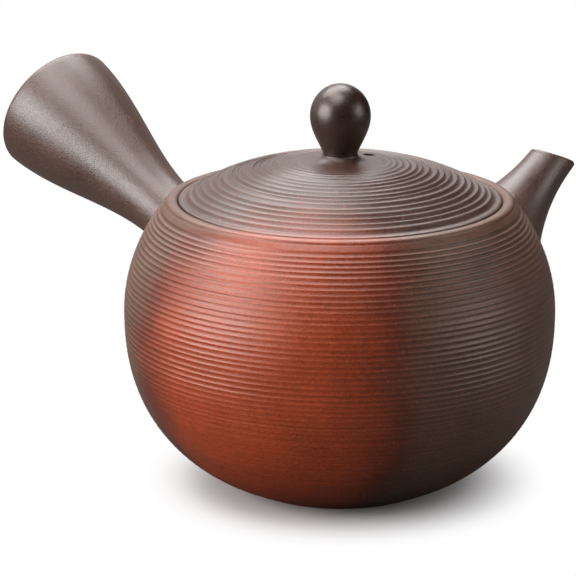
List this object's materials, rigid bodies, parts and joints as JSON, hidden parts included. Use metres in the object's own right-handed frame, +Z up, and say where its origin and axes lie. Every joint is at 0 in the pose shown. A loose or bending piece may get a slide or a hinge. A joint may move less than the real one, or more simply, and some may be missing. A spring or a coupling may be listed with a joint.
{
  "type": "kyusu teapot",
  "caption": "Round unglazed stoneware teapot with combed ribs, a flared side handle, a short spout, an inner strainer and a loose domed lid with a ball knob.",
  "frame": {"origin": "centre of the foot ring, on the surface that the pot stands on", "axes": "+Z up, +X the way the spout points, +Y the way the handle points"},
  "size_m": [0.1423, 0.1776, 0.1035],
  "materials": {
    "red_clay": "matte unglazed stoneware, combed ribs, brick red fading to grey brown",
    "grey_clay": "satin unglazed stoneware, smooth, grey brown",
    "inner_clay": "matte unglazed stoneware, unburnished, red brown",
    "dark_clay": "burnished stoneware, dark brown, soft gloss"
  },
  "bodies": {
    "pot": {"body": "red_clay", "spout": "grey_clay", "handle": "grey_clay", "strainer": "inner_clay"},
    "lid": {"lid": "red_clay", "knob": "dark_clay"}
  },
  "joints": [
    {"name": "lid_lift", "type": "slide", "parent": "pot", "child": "lid", "axis": [0, 0, 1], "range_m": [0, 0.06]}
  ]
}
